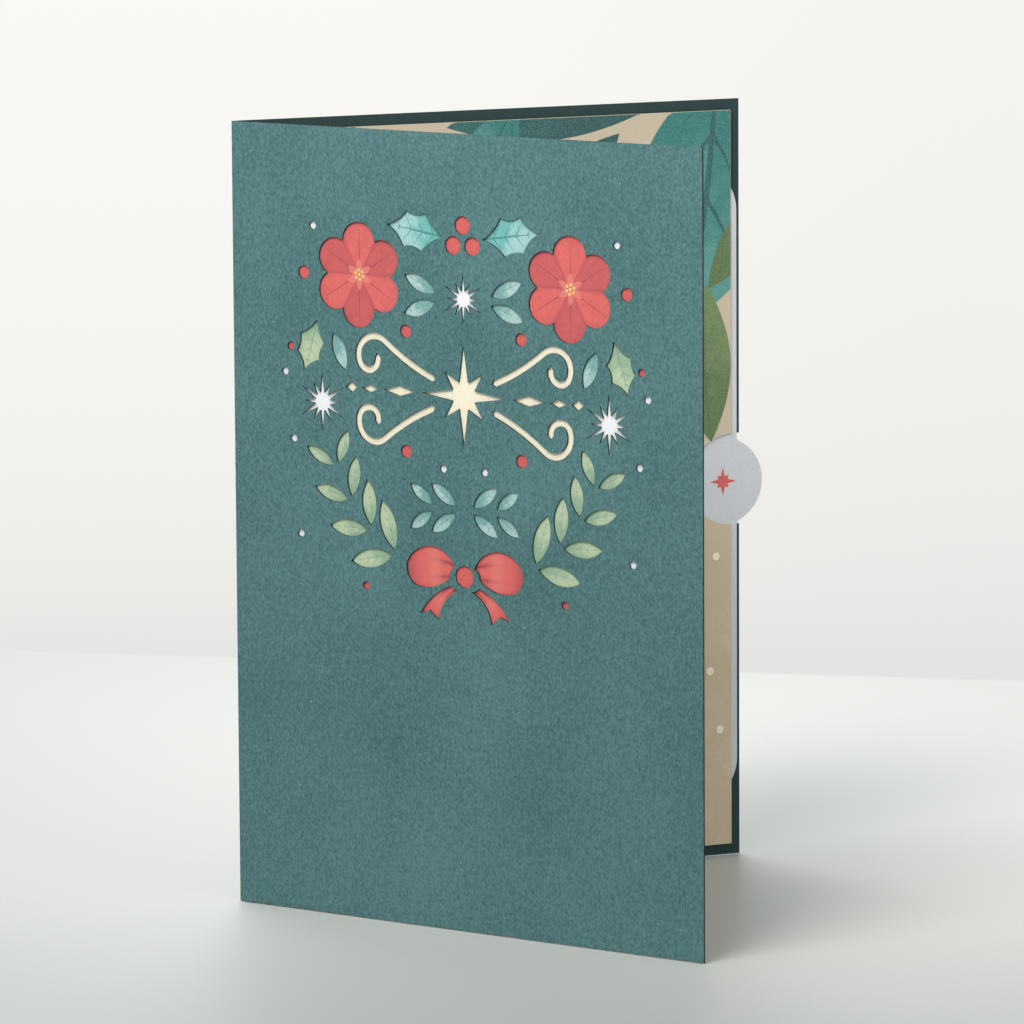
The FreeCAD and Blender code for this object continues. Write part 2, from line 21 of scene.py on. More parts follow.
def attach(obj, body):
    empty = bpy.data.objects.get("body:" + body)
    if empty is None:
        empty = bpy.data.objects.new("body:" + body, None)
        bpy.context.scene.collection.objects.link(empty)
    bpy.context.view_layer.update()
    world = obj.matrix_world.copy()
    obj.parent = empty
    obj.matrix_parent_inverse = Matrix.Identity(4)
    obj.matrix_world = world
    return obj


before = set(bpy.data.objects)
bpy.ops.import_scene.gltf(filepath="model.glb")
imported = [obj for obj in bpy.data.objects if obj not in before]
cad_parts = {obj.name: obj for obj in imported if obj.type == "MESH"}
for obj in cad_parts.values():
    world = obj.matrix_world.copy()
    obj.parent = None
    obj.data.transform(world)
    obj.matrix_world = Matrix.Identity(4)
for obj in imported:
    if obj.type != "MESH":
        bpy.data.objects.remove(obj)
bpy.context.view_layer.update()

print("sheets in the frame:", ", ".join(sorted(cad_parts)))

# %% [markdown]
# ## The camera
#
# The card was seen from the front, a little to the right and from above, through a long lens
# that hardly makes anything converge. Such a camera could be set by eye. Here its place and
# its three directions were worked out from the corners of the two pages instead, because
# then every sheet falls where it should with no more fitting.

# %% Set the camera
MM = 0.001
SENSOR = 36.0
FOCAL = 7005.8 * SENSOR / 1024
CAMERA_PLACE = (205.80, -1554.89, 312.42)

right = Vector((0.99584683, 0.09085154, -0.00592289))
down = Vector((0.00699145, -0.14117354, -0.98996018))
forward = Vector((-0.09077556, 0.9858073, -0.1412224))
camera_data = bpy.data.cameras.new("camera")
camera_data.sensor_width = SENSOR
camera_data.lens = FOCAL
camera_data.clip_start, camera_data.clip_end = 0.01, 100
camera = bpy.data.objects.new("camera", camera_data)
turned = Matrix((right, -down, -forward)).transposed().to_4x4()
camera.matrix_world = Matrix.Translation(Vector(CAMERA_PLACE) * MM) @ turned
bpy.context.scene.collection.objects.link(camera)
bpy.context.scene.camera = camera
print("lens", round(FOCAL, 1), "mm")

# %% [markdown]
# ## Places on the pages
#
# Everything printed lies flat on a page, so its place is easiest to give as three numbers: how
# far along the page from the fold, how high, and how deep in the card from its outer face.
# One function turns these into points of the frame, for the front page or the back page. Ink
# lies a hair above its sheet, and each further layer of ink a little above the one below.

# %% Page coordinates
FRONT, BACK = -1, 1
HALF_ANGLE = math.radians(30)
PAGE_WIDTH = 127.0
PAGE_OFFSET = -0.4
BOARD_DEPTH = 0.5
LINER_DEPTH = 1.2
NOTE_DEPTH = 0.9
INK_LIFT = 0.02
LAYER = 0.03


def on_page(side, along, height, depth):
    """Points of a page in metres: the distance along it, the height and the depth in mm.

    The page's direction is (cos, side * sin) of half the opening angle, and its inward normal
    is (sin, -side * cos), on which the outer face lies at the page offset.
    """
    cosine, sine = math.cos(HALF_ANGLE), math.sin(HALF_ANGLE)
    inward = depth + PAGE_OFFSET
    x = along * cosine + inward * sine
    y = side * (along * sine - inward * cosine)
    return np.stack([x, y, np.broadcast_to(height, np.shape(x))], axis=-1) * MM


def front_page(along, height, depth):
    """Points of the front page."""
    return on_page(FRONT, along, height, depth)


def back_page(along, height, depth):
    """Points of the back page."""
    return on_page(BACK, along, height, depth)


print("free edge of the front page:", front_page(np.array(PAGE_WIDTH), 0.0, 0.0).round(4))

# %% [markdown]
# ## Patches of print
#
# Ink has no thickness worth the name, but seen through a window it has a clear outline. It
# could be painted by one large material, with a formula for every leaf. Small flat patches are
# easier to follow: each is a grid of points from two parameters, so it also has its own UV
# map, and veins or folds can follow the leaf that they are printed on.

# %% Grids of points
def leaf_patch(stem, turn, length, width, bend=0.0, bleed=0.3, fullness=1.0, rows=18, columns=8):
    """A leaf: half width times 4t(1-t) to a power, on both sides of a midrib that bends evenly.

    stem is in mm on the page, turn and bend are degrees. The bleed is added all round.
    """
    t = np.linspace(0, 1, rows)
    heading = np.radians(turn + bend * (t - 0.5))
    stretch = length + 2 * bleed
    run = np.cumsum(np.cos(heading)) / rows * stretch
    rise = np.cumsum(np.sin(heading)) / rows * stretch
    start = np.array(stem) - bleed * np.array([np.cos(heading[0]), np.sin(heading[0])])
    middle = start + np.stack([run - run[0], rise - rise[0]], axis=-1)
    half = width / 2 * (4 * t * (1 - t)) ** fullness + bleed
    s = np.linspace(-1, 1, columns)
    normal = np.stack([-np.sin(heading), np.cos(heading)], axis=-1)
    points = middle[:, None, :] + (half[:, None] * s)[..., None] * normal[:, None, :]
    uv = np.stack(np.broadcast_arrays(t[:, None], 0.5 + 0.5 * s), axis=-1)
    return points, uv


def round_patch(centre, radius, petals=1, first=90.0, rings=5, around=36):
    """A disc: polar points, with the angle counted in petals as U and the radius share as V."""
    share = np.linspace(0, 1, rings)
    turn = np.linspace(0, 1, around + 1)
    angle = np.radians(first) + 2 * np.pi * turn
    ray = np.stack([np.cos(angle), np.sin(angle)], axis=-1)
    points = np.array(centre) + radius * share[:, None, None] * ray
    uv = np.stack(np.broadcast_arrays(turn * petals + 0.5, share[:, None]), axis=-1)
    return points, uv


def strip_patch(corner, opposite, rows=12, columns=12):
    """An upright rectangle between two corners."""
    t, s = np.linspace(0, 1, rows)[:, None], np.linspace(0, 1, columns)
    x = corner[0] + (opposite[0] - corner[0]) * s
    y = corner[1] + (opposite[1] - corner[1]) * t
    return (np.stack(np.broadcast_arrays(x, y), axis=-1),
            np.stack(np.broadcast_arrays(s, t), axis=-1))


def ribbon_patch(path, half_widths, rows=24, columns=8):
    """A ribbon: half widths to both sides of a smooth line through a few points.

    The line is a parabola through three points, and the widths run evenly along it.
    """
    t = np.linspace(0, 1, rows)
    a, b, c = (np.array(point, float) for point in path)
    share = t[:, None]
    middle = (a * (1 - share) * (1 - 2 * share) + b * 4 * share * (1 - share)
              + c * share * (2 * share - 1))
    way = np.gradient(middle, axis=0)
    way /= np.linalg.norm(way, axis=1, keepdims=True)
    normal = np.stack([-way[:, 1], way[:, 0]], axis=-1)
    half = np.interp(t, np.linspace(0, 1, len(half_widths)), half_widths)
    s = np.linspace(-1, 1, columns)
    points = middle[:, None, :] + (half[:, None] * s)[..., None] * normal[:, None, :]
    uv = np.stack(np.broadcast_arrays(t[:, None], 0.5 + 0.5 * s), axis=-1)
    return points, uv


def mirrored(patch):
    """The same patch on the other side of the middle line."""
    points, uv = patch
    return np.stack([-points[..., 0], points[..., 1]], axis=-1), uv


def both_sides(patches):
    """Patches drawn about the middle line, and their mirror images."""
    return [made for patch in patches for made in (patch, mirrored(patch))]


def moved(patches, along, height):
    """Patches carried to their place on the page."""
    return [(points + np.array([along, height]), uv) for points, uv in patches]


def trimmed(patches, left, bottom, far, top):
    """Patches cut off at the edges of their sheet."""
    return [(np.clip(points, (left, bottom), (far, top)), uv) for points, uv in patches]


# %% [markdown]
# A mesh takes flat lists, so the grids are joined into long arrays first. Ink is then given a
# film's thickness: an open sheet would do for a picture, but a closed film also stays right in
# a model that is exported. Where grids meet themselves, at the middle of a disc and along its
# seam, the doubled points are welded.

# %% From grids to a film of ink
FILM = 0.000008
WELD = 0.000001
SMALLEST_FACE = 1e-12


def print_piece(name, surface, depth, patches, material, body="card", rise=-1, climb=0.0):
    """One piece of ink from flat patches on a surface, at a depth in mm.

    Its faces look the way in which the depth changes by rise, and each patch lies a climb above
    the one before it.
    """
    places, loops, uvs, start = [], [], [], 0
    for order, (points, uv) in enumerate(patches):
        rows, columns = points.shape[:2]
        level = np.full(points.shape[:2], depth + rise * climb * order)
        world = surface(points[..., 0], points[..., 1], level).reshape(-1, 3)
        above = surface(points[..., 0], points[..., 1], level + rise).reshape(-1, 3)
        index = np.arange(rows * columns).reshape(rows, columns)
        quads = np.stack([index[:-1, :-1], index[:-1, 1:], index[1:, 1:], index[1:, :-1]], -1)
        quads = quads.reshape(-1, 4)
        corner = world[quads]
        normal = np.cross(corner[:, 2] - corner[:, 0], corner[:, 3] - corner[:, 1])
        large = np.linalg.norm(normal, axis=1) > SMALLEST_FACE
        quads, normal = quads[large], normal[large]
        outward = (normal * (above - world)[quads[:, 0]]).sum(axis=1) > 0
        quads = np.where(outward[:, None], quads, quads[:, ::-1])
        places.append(world)
        uvs.append(uv.reshape(-1, 2)[quads.ravel()])
        loops.append(quads + start)
        start += rows * columns
    places, loops, uvs = np.concatenate(places), np.concatenate(loops), np.concatenate(uvs)
    mesh = bpy.data.meshes.new(name)
    mesh.from_pydata(places, [], loops)
    mesh.uv_layers.new(name="UVMap").data.foreach_set("uv", uvs.astype(np.float32).ravel())
    shape = bmesh.new()
    shape.from_mesh(mesh)
    bmesh.ops.remove_doubles(shape, verts=shape.verts, dist=WELD)
    loose = [vertex for vertex in shape.verts if not vertex.link_faces]
    bmesh.ops.delete(shape, geom=loose, context="VERTS")
    shape.to_mesh(mesh)
    shape.free()
    mesh.materials.append(material)
    piece = bpy.data.objects.new(name, mesh)
    bpy.context.scene.collection.objects.link(piece)
    film = piece.modifiers.new("film", "SOLIDIFY")
    film.thickness, film.offset = FILM, -1.0
    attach(piece, body)
    print(name, len(patches), "patches", len(mesh.polygons), "faces")


# %% [markdown]
# ## Small helpers for materials
#
# A material is a graph of nodes. Written out in full, each node takes four or five lines, so a
# few helpers add a node with its settings, do one sum, or blend two colours.

# %% Node helpers


def ink(red, green, blue):
    """A colour given in the eight-bit steps of a screen, as the linear one that nodes take."""
    parts = np.array([red, green, blue]) / 255
    linear = np.where(parts <= 0.04045, parts / 12.92, ((parts + 0.055) / 1.055) ** 2.4)
    return (*linear.tolist(), 1.0)


def join(tree, value, socket):
    """Links another node's output to a socket, or sets the socket to a plain value."""
    if isinstance(value, bpy.types.NodeSocket):
        tree.links.new(value, socket)
    else:
        socket.default_value = value


def put(tree, kind, inputs=None, **settings):
    """A new node with its settings and its inputs."""
    node = tree.nodes.new("ShaderNode" + kind)
    for name, value in settings.items():
        setattr(node, name, value)
    for name, value in (inputs or {}).items():
        join(tree, value, node.inputs[name])
    return node


def calc(tree, operation, *values):
    """One sum of one to three numbers."""
    node = put(tree, "Math", operation=operation)
    for value, socket in zip(values, node.inputs):
        join(tree, value, socket)
    return node.outputs[0]


def soft_step(tree, value, low, high, bottom=0.0, top=1.0):
    """Runs smoothly from bottom to top as the value goes from low to high."""
    node = put(tree, "MapRange", {"Value": value, "From Min": low, "From Max": high,
                                  "To Min": bottom, "To Max": top},
               interpolation_type="SMOOTHSTEP")
    return node.outputs["Result"]


def tinted(tree, share, first, second):
    """Two colours blended by a share."""
    node = put(tree, "Mix", data_type="RGBA", blend_type="MIX")
    for value, index in ((share, 0), (first, 6), (second, 7)):
        join(tree, value, node.inputs[index])
    return node.outputs[2]


def group_of(name, inputs, outputs):
    """An empty node group with named sockets, and its inner input and output."""
    tree = bpy.data.node_groups.new(name, "ShaderNodeTree")
    for label, kind in inputs.items():
        tree.interface.new_socket(label, in_out="INPUT", socket_type="NodeSocket" + kind)
    for label, kind in outputs.items():
        tree.interface.new_socket(label, in_out="OUTPUT", socket_type="NodeSocket" + kind)
    return (tree, tree.nodes.new("NodeGroupInput").outputs,
            tree.nodes.new("NodeGroupOutput").inputs)


def use(tree, name, inputs):
    """The outputs of a group placed in a material."""
    node = put(tree, "Group", node_tree=bpy.data.node_groups[name])
    for label, value in inputs.items():
        join(tree, value, node.inputs[label])
    return node.outputs


def new_material(name):
    """A material with nodes turned on, and its tree and surface shader."""
    material = bpy.data.materials.new(name)
    material.use_nodes = True
    tree = material.node_tree
    return material, tree, tree.nodes["Principled BSDF"]


def object_place(tree):
    """Object coordinates, which are places in the frame, in metres."""
    return put(tree, "TexCoord").outputs["Object"]


# %% [markdown]
# ## The grain of the papers
#
# Felt-marked card is pressed between woollen felts while wet, which leaves soft dents, longer
# along the sheet than across it. Smooth papers keep only their fibres. Both could be pictures
# wrapped on the sheets, but noise in real millimetres needs no picture and fits every page.
# Each grain is a group that gives a height, for the bump, and a tone, for the colour.

# %% Grain groups
tree, given, wanted = group_of("felt marks", {"Place": "Vector"},
                               {"Height": "Float", "Tone": "Float", "Specks": "Float"})
drawn = put(tree, "Mapping", {"Vector": given["Place"], "Scale": (1.0, 1.0, 0.6)})
dents = put(tree, "TexNoise", {"Vector": drawn.outputs[0], "Scale": 2050.0, "Detail": 1.0})
folds = put(tree, "TexNoise", {"Vector": drawn.outputs[0], "Scale": 620.0, "Detail": 1.0})
clouds = put(tree, "TexNoise", {"Vector": given["Place"], "Scale": 30.0, "Detail": 1.0})
height = calc(tree, "ADD", calc(tree, "MULTIPLY", dents.outputs[0], 0.85),
              calc(tree, "MULTIPLY", folds.outputs[0], 0.15))
join(tree, height, wanted["Height"])
# The tone is lighter on the raised felt and darker in the hollows, which is painted shade of the
# relief, with soft random clouds mixed in.
tone = calc(tree, "ADD", calc(tree, "MULTIPLY", height, 0.74),
            calc(tree, "MULTIPLY", clouds.outputs[0], 0.26))
join(tree, soft_step(tree, tone, 0.28, 0.72), wanted["Tone"])
flecks = put(tree, "TexNoise", {"Vector": given["Place"], "Scale": 1700.0, "Detail": 0.0})
join(tree, soft_step(tree, flecks.outputs[0], 0.83, 0.9), wanted["Specks"])

tree, given, wanted = group_of("paper fibres", {"Place": "Vector", "Scale": "Float"},
                               {"Height": "Float", "Tone": "Float"})
fibres = put(tree, "TexNoise", {"Vector": given["Place"], "Scale": given["Scale"],
                                "Detail": 3.0, "Roughness": 0.6})
join(tree, fibres.outputs[0], wanted["Height"])
join(tree, soft_step(tree, fibres.outputs[0], 0.3, 0.7), wanted["Tone"])

tree, given, wanted = group_of("brush wash", {"Place": "Vector", "Scale": "Float"},
                               {"Cloud": "Float", "Dabs": "Float"})
cloud = put(tree, "TexNoise", {"Vector": given["Place"], "Scale": given["Scale"],
                               "Detail": 4.0, "Roughness": 0.6, "Distortion": 0.6})
join(tree, soft_step(tree, cloud.outputs[0], 0.38, 0.62), wanted["Cloud"])
dabs = put(tree, "TexNoise", {"Vector": given["Place"], "Detail": 3.0, "Roughness": 0.75,
                              "Scale": calc(tree, "MULTIPLY", given["Scale"], 9.0)})
patches = calc(tree, "MULTIPLY", soft_step(tree, dabs.outputs[0], 0.48, 0.6),
               soft_step(tree, cloud.outputs[0], 0.5, 0.62))
join(tree, patches, wanted["Dabs"])
print("grains:", ", ".join(group.name for group in bpy.data.node_groups))

# %% [markdown]
# Printed leaves have a midrib and a few side veins. On the leaf's own UV map, U runs from stem
# to tip and V across, so the midrib is where V is a half, and side veins are stripes of U that
# lean towards the tip as they leave it.

# %% Vein group
tree, given, wanted = group_of("leaf veins", {"UV": "Vector", "Pairs": "Float", "Slant": "Float"},
                               {"Veins": "Float", "Side": "Float"})
split = put(tree, "SeparateXYZ", {"Vector": given["UV"]})
along, across = split.outputs[0], split.outputs[1]
off_rib = calc(tree, "ABSOLUTE", calc(tree, "MULTIPLY_ADD", across, 2.0, -1.0))
rib_half = calc(tree, "MULTIPLY_ADD", along, -0.045, 0.06)
rib = calc(tree, "LESS_THAN", off_rib, rib_half)
rib = calc(tree, "MULTIPLY", rib, calc(tree, "LESS_THAN", along, 0.88))
leaning = calc(tree, "SUBTRACT", calc(tree, "MULTIPLY", along, given["Pairs"]),
               calc(tree, "MULTIPLY", off_rib, given["Slant"]))
saw = calc(tree, "FRACT", leaning)
stripe = calc(tree, "LESS_THAN", saw, calc(tree, "MULTIPLY_ADD", off_rib, -0.12, 0.11))
short = calc(tree, "LESS_THAN", off_rib, 0.62)
inner = calc(tree, "MULTIPLY", calc(tree, "GREATER_THAN", along, 0.12),
             calc(tree, "LESS_THAN", along, 0.85))
veins = calc(tree, "MULTIPLY", calc(tree, "MULTIPLY", stripe, short), inner)
join(tree, calc(tree, "MAXIMUM", rib, veins), wanted["Veins"])
join(tree, calc(tree, "GREATER_THAN", across, 0.5), wanted["Side"])
print("leaf veins:", len(tree.nodes), "nodes")

# %% [markdown]
# ## The cover stock
#
# The cover is a grey teal card. The felt marks change its bump, and its colour a little: it is
# lighter on the raised felt and darker in the hollows, which is painted shade of the relief, and
# soft random clouds lighten and darken it more broadly. Its inside is a darker green, painted
# shade inside the card, which shows as a thin border round the liner. The cut edges are darker
# still, partly the burnt colour of the laser cut and partly painted shade of the cut walls. The
# outside, the inside and the edges are told apart by the normal of the face, compared with the
# inward direction of the page: one on the inside, minus one outside, near nought on an edge.

# %% Felt card
CARD = ink(96, 137, 139)
# Painted shade of the felt relief: the colour of the hollows.
CARD_HOLLOW_SHADE = ink(62, 103, 105)
# Painted shade inside the card: the inside faces are a darker green than the outside.
CARD_INSIDE_SHADE = ink(34, 56, 55)
# The cut edges: their laser-burnt colour together with painted shade of the cut walls.
CARD_EDGE_BURN_AND_SHADE = ink(28, 43, 44)
FOLD_END = 0.0015

felt_card, tree, shader = new_material("felt card")
place = object_place(tree)
marks = use(tree, "felt marks", {"Place": place})
colour = tinted(tree, marks["Tone"], CARD_HOLLOW_SHADE, CARD)
colour = tinted(tree, calc(tree, "MULTIPLY", marks["Specks"], 0.4), colour, ink(190, 205, 205))
facing = put(tree, "SeparateXYZ", {"Vector": put(tree, "TexCoord").outputs["Normal"]})
spot = put(tree, "SeparateXYZ", {"Vector": place})
behind = calc(tree, "MULTIPLY_ADD", calc(tree, "GREATER_THAN", spot.outputs[1], 0.0), -2.0, 1.0)
inward = calc(tree, "ADD", calc(tree, "MULTIPLY", facing.outputs[0], math.sin(HALF_ANGLE)),
              calc(tree, "MULTIPLY", calc(tree, "MULTIPLY", facing.outputs[1], behind),
                   math.cos(HALF_ANGLE)))
# The inside faces take the painted shade colour.
inside = calc(tree, "MULTIPLY", calc(tree, "GREATER_THAN", inward, 0.6), 0.92)
colour = tinted(tree, inside, colour, CARD_INSIDE_SHADE)
# Cut edges away from the fold take the burnt and painted shade colour.
edge = calc(tree, "MULTIPLY", calc(tree, "LESS_THAN", calc(tree, "ABSOLUTE", inward), 0.6),
            calc(tree, "GREATER_THAN", spot.outputs[0], FOLD_END))
join(tree, tinted(tree, edge, colour, CARD_EDGE_BURN_AND_SHADE), shader.inputs["Base Color"])
shader.inputs["Roughness"].default_value = 0.75
shader.inputs["Specular IOR Level"].default_value = 0.4
bump = put(tree, "Bump", {"Height": marks["Height"], "Strength": 0.6, "Distance": 0.00016})
join(tree, bump.outputs[0], shader.inputs["Normal"])
print("felt card:", len(tree.nodes), "nodes")

# %% [markdown]
# ## Inks and smooth papers
#
# The garland is printed in flat body colours, each with a slightly deeper wash towards the
# stem. One function makes such a leaf ink, and is given the colours of each kind of leaf.

# %% Ink materials
FINE_FIBRES = 2600.0


def smooth_paper(name, light, deep, roughness=0.6):
    """A plain dyed or white paper with its fibres."""
    material, tree, shader = new_material(name)
    grain = use(tree, "paper fibres", {"Place": object_place(tree), "Scale": FINE_FIBRES})
    join(tree, tinted(tree, grain["Tone"], deep, light), shader.inputs["Base Color"])
    shader.inputs["Roughness"].default_value = roughness
    shader.inputs["Specular IOR Level"].default_value = 0.3
    bump = put(tree, "Bump", {"Height": grain["Height"], "Strength": 0.4, "Distance": 0.00002})
    join(tree, bump.outputs[0], shader.inputs["Normal"])
    return material


def leaf_ink(name, stem, tip, vein, pairs=5.0, slant=1.1, vein_share=0.8, wash=260.0):
    """Body colour for printed leaves: from the stem's tone to the tip's, with veins."""
    material, tree, shader = new_material(name)
    uv = put(tree, "UVMap", uv_map="UVMap").outputs[0]
    veins = use(tree, "leaf veins", {"UV": uv, "Pairs": pairs, "Slant": slant})
    brush = use(tree, "brush wash", {"Place": object_place(tree), "Scale": wash})
    along = put(tree, "SeparateXYZ", {"Vector": uv}).outputs[0]
    reach = calc(tree, "ADD", along, calc(tree, "MULTIPLY_ADD", veins["Side"], -0.16, 0.08))
    reach = calc(tree, "ADD", reach, calc(tree, "MULTIPLY_ADD", brush["Cloud"], 0.3, -0.15))
    colour = tinted(tree, soft_step(tree, reach, 0.3, 0.75), stem, tip)
    colour = tinted(tree, calc(tree, "MULTIPLY", veins["Veins"], vein_share), colour, vein)
    grain = use(tree, "paper fibres", {"Place": object_place(tree), "Scale": FINE_FIBRES})
    colour = tinted(tree, calc(tree, "MULTIPLY", grain["Tone"], 0.08), colour, ink(255, 255, 255))
    join(tree, colour, shader.inputs["Base Color"])
    shader.inputs["Roughness"].default_value = 0.6
    shader.inputs["Specular IOR Level"].default_value = 0.3
    bump = put(tree, "Bump", {"Height": grain["Height"], "Strength": 0.3, "Distance": 0.00002})
    join(tree, bump.outputs[0], shader.inputs["Normal"])
    return material


def petal_ink(name, light, dark, vein, middle, petals_differ=0.5):
    """Body colour for a round flower: U counts its petals, V runs from the middle to the rim."""
    material, tree, shader = new_material(name)
    uv = put(tree, "UVMap", uv_map="UVMap").outputs[0]
    split = put(tree, "SeparateXYZ", {"Vector": uv})
    turn, reach = split.outputs[0], split.outputs[1]
    within = calc(tree, "FRACT", turn)
    off_rib = calc(tree, "ABSOLUTE", calc(tree, "MULTIPLY_ADD", within, 2.0, -1.0))
    other = calc(tree, "MODULO", calc(tree, "FLOOR", turn), 2.0)
    brush = use(tree, "brush wash", {"Place": object_place(tree), "Scale": 240.0})
    shade = calc(tree, "MULTIPLY", other, petals_differ)
    shade = calc(tree, "ADD", shade, calc(tree, "MULTIPLY", brush["Cloud"], 0.25))
    shade = calc(tree, "ADD", shade, soft_step(tree, off_rib, 0.75, 1.0, 0.0, 0.45))
    colour = tinted(tree, calc(tree, "MINIMUM", shade, 1.0), light, dark)
    rib = calc(tree, "MULTIPLY", calc(tree, "LESS_THAN", calc(tree, "MULTIPLY", off_rib, reach),
                                      calc(tree, "MULTIPLY_ADD", reach, -0.022, 0.03)),
               calc(tree, "LESS_THAN", reach, 0.86))
    side_saw = calc(tree, "FRACT", calc(tree, "SUBTRACT", calc(tree, "MULTIPLY", reach, 7.0),
                                        calc(tree, "MULTIPLY", off_rib, 1.7)))
    side = calc(tree, "MULTIPLY", calc(tree, "LESS_THAN", side_saw, 0.1),
                calc(tree, "LESS_THAN", off_rib, 0.55))
    side = calc(tree, "MULTIPLY", side, calc(tree, "GREATER_THAN", reach, 0.35))
    lines = calc(tree, "MAXIMUM", rib, calc(tree, "MULTIPLY", side, 0.45))
    colour = tinted(tree, calc(tree, "MULTIPLY", lines, 0.6), colour, vein)
    star = calc(tree, "LESS_THAN", reach, calc(tree, "MULTIPLY_ADD", off_rib, -0.17, 0.29))
    colour = tinted(tree, calc(tree, "MULTIPLY", star, 0.75), colour, middle)
    join(tree, colour, shader.inputs["Base Color"])
    shader.inputs["Roughness"].default_value = 0.6
    shader.inputs["Specular IOR Level"].default_value = 0.3
    return material


def ribbon_ink(name, light, dark, shine, folds=3.0):
    """Satin ribbon: U runs out of the knot. Folds fan out of it and fade, the turn shines."""
    material, tree, shader = new_material(name)
    split = put(tree, "SeparateXYZ", {"Vector": put(tree, "UVMap", uv_map="UVMap").outputs[0]})
    out, across = split.outputs[0], split.outputs[1]
    wave = calc(tree, "ABSOLUTE", calc(tree, "SINE", calc(tree, "MULTIPLY", across,
                                                          math.pi * folds)))
    crease = calc(tree, "MULTIPLY", calc(tree, "POWER", calc(tree, "SUBTRACT", 1.0, wave), 2.0),
                  soft_step(tree, out, 0.15, 0.8, 1.0, 0.0))
    shade = calc(tree, "ADD", crease, soft_step(tree, out, 0.7, 1.05, 0.0, 0.55))
    shade = calc(tree, "ADD", shade, soft_step(tree, out, 0.0, 0.25, 0.6, 0.0))
    turn = calc(tree, "ABSOLUTE", calc(tree, "SUBTRACT", out, 0.52))
    colour = tinted(tree, calc(tree, "MINIMUM", shade, 1.0), light, dark)
    colour = tinted(tree, soft_step(tree, turn, 0.02, 0.2, 0.4, 0.0), colour, shine)
    join(tree, colour, shader.inputs["Base Color"])
    shader.inputs["Roughness"].default_value = 0.5
    shader.inputs["Specular IOR Level"].default_value = 0.35
    return material


RED, DEEP_RED, RED_VEIN = ink(226, 110, 105), ink(190, 90, 95), ink(150, 72, 84)
red_petals = petal_ink("red petal ink", RED, DEEP_RED, RED_VEIN, ink(232, 138, 128))
red_ribbon = ribbon_ink("red ribbon ink", RED, ink(158, 68, 76), ink(240, 142, 132))
berry_ink = smooth_paper("berry ink", ink(228, 112, 108), ink(208, 94, 94))
sage_ink = leaf_ink("sage leaf ink", ink(150, 182, 150), ink(188, 207, 172), ink(128, 160, 140))
teal_ink = leaf_ink("teal leaf ink", ink(104, 184, 178), ink(160, 207, 206), ink(58, 122, 128))
pale_ink = leaf_ink("pale teal leaf ink", ink(122, 176, 172), ink(176, 211, 207),
                    ink(84, 142, 146))
white_ink = smooth_paper("white ink", ink(252, 253, 255), ink(242, 244, 248))
stamen_ink = smooth_paper("yellow ink", ink(252, 228, 140), ink(244, 206, 104))
heart_paper = smooth_paper("gold heart paper", ink(244, 214, 150), ink(232, 194, 124))

# %% Gold foil
foil, tree, shader = new_material("gold foil")
grain = use(tree, "paper fibres", {"Place": object_place(tree), "Scale": 1400.0})
join(tree, tinted(tree, grain["Tone"], ink(255, 243, 212), ink(255, 250, 230)),
     shader.inputs["Base Color"])
join(tree, calc(tree, "MULTIPLY_ADD", grain["Tone"], 0.12, 0.30), shader.inputs["Roughness"])
shader.inputs["Metallic"].default_value = 0.05
bump = put(tree, "Bump", {"Height": grain["Height"], "Strength": 0.25, "Distance": 0.00002})
join(tree, bump.outputs[0], shader.inputs["Normal"])
print("inks:", len(bpy.data.materials))

# %% [markdown]
# ## The garland on the window board
#
# Behind each window the board is printed with the colour that belongs there, a little larger
# than the window, so that no blank board shows if the sheets shift by a hair. Printers call
# this extra a bleed. The patches repeat the places that the windows were cut at.

# %% Print the garland
GARLAND = (63.7, 116.0)
BOARD_FACE = BOARD_DEPTH - INK_LIFT
FLOWER = (28.5, 29.2)


def polar(radius, degrees):
    """The point at a distance and an angle from the origin."""
    return (radius * math.cos(math.radians(degrees)), radius * math.sin(math.radians(degrees)))


def laurel_patches(radius=37.8, first=149.0, last=111.0, pairs=4, lean=42.0, gap=0.7):
    """Pairs of leaves up a ring, with clock angles from first to last."""
    patches = []
    for i in range(pairs):
        clock = first + i * (last - first) / (pairs - 1)
        share = 1 - 0.3 * i / (pairs - 1)
        for side in (-1, 1):
            away = polar(gap, 180 - clock + side * 90)
            ring = polar(radius, 90 - clock)
            stem = (ring[0] + away[0], ring[1] + away[1])
            patches.append(leaf_patch(stem, 180 - clock + side * lean, 11.5 * share,
                                      4.3 * share, bleed=0.28))
    return both_sides(patches)


def garland(name, patches, material, layer):
    """Garland patches as one piece of print on the board."""
    depth = BOARD_FACE - LAYER * layer
    print_piece(name, front_page, depth, moved(patches, *GARLAND), material)


garland("print_gold", [strip_patch((-33.5, -9.8), (33.5, 17.8))], foil, 0)
garland("print_laurel", laurel_patches(), sage_ink, 1)
flowers = [round_patch(FLOWER, 12.2, petals=6)]
garland("print_flowers", both_sides(flowers), red_petals, 1)
stamens = [round_patch((FLOWER[0] + x, FLOWER[1] + y), 0.34, rings=2, around=10)
           for x, y in [(0, 0)] + [polar(1.05, 60 * k + 20) for k in range(6)]]
garland("print_stamens", both_sides(stamens), stamen_ink, 2)
holly = [leaf_patch((5.2, 38.8), 8, 15.5, 9.4, bleed=0.3, fullness=0.45)]
garland("print_holly", both_sides(holly), teal_ink, 1)
berry_spots = [(x, 38.7 + y) for x, y in (polar(3.0, 90), polar(3.0, 210), polar(3.0, 330))]
clusters = [round_patch(spot, 2.4, rings=3, around=16) for spot in berry_spots]
loose = [round_patch(spot, 1.8, rings=3, around=14)
         for spot in ((43.6, 29.0), (15.6, 17.4), (15.6, -9.4))]
garland("print_berries", clusters + both_sides(loose), berry_ink, 2)
side_holly = [leaf_patch((40.0, 18.6), -72, 12.4, 7.6, bleed=0.3, fullness=0.45)]
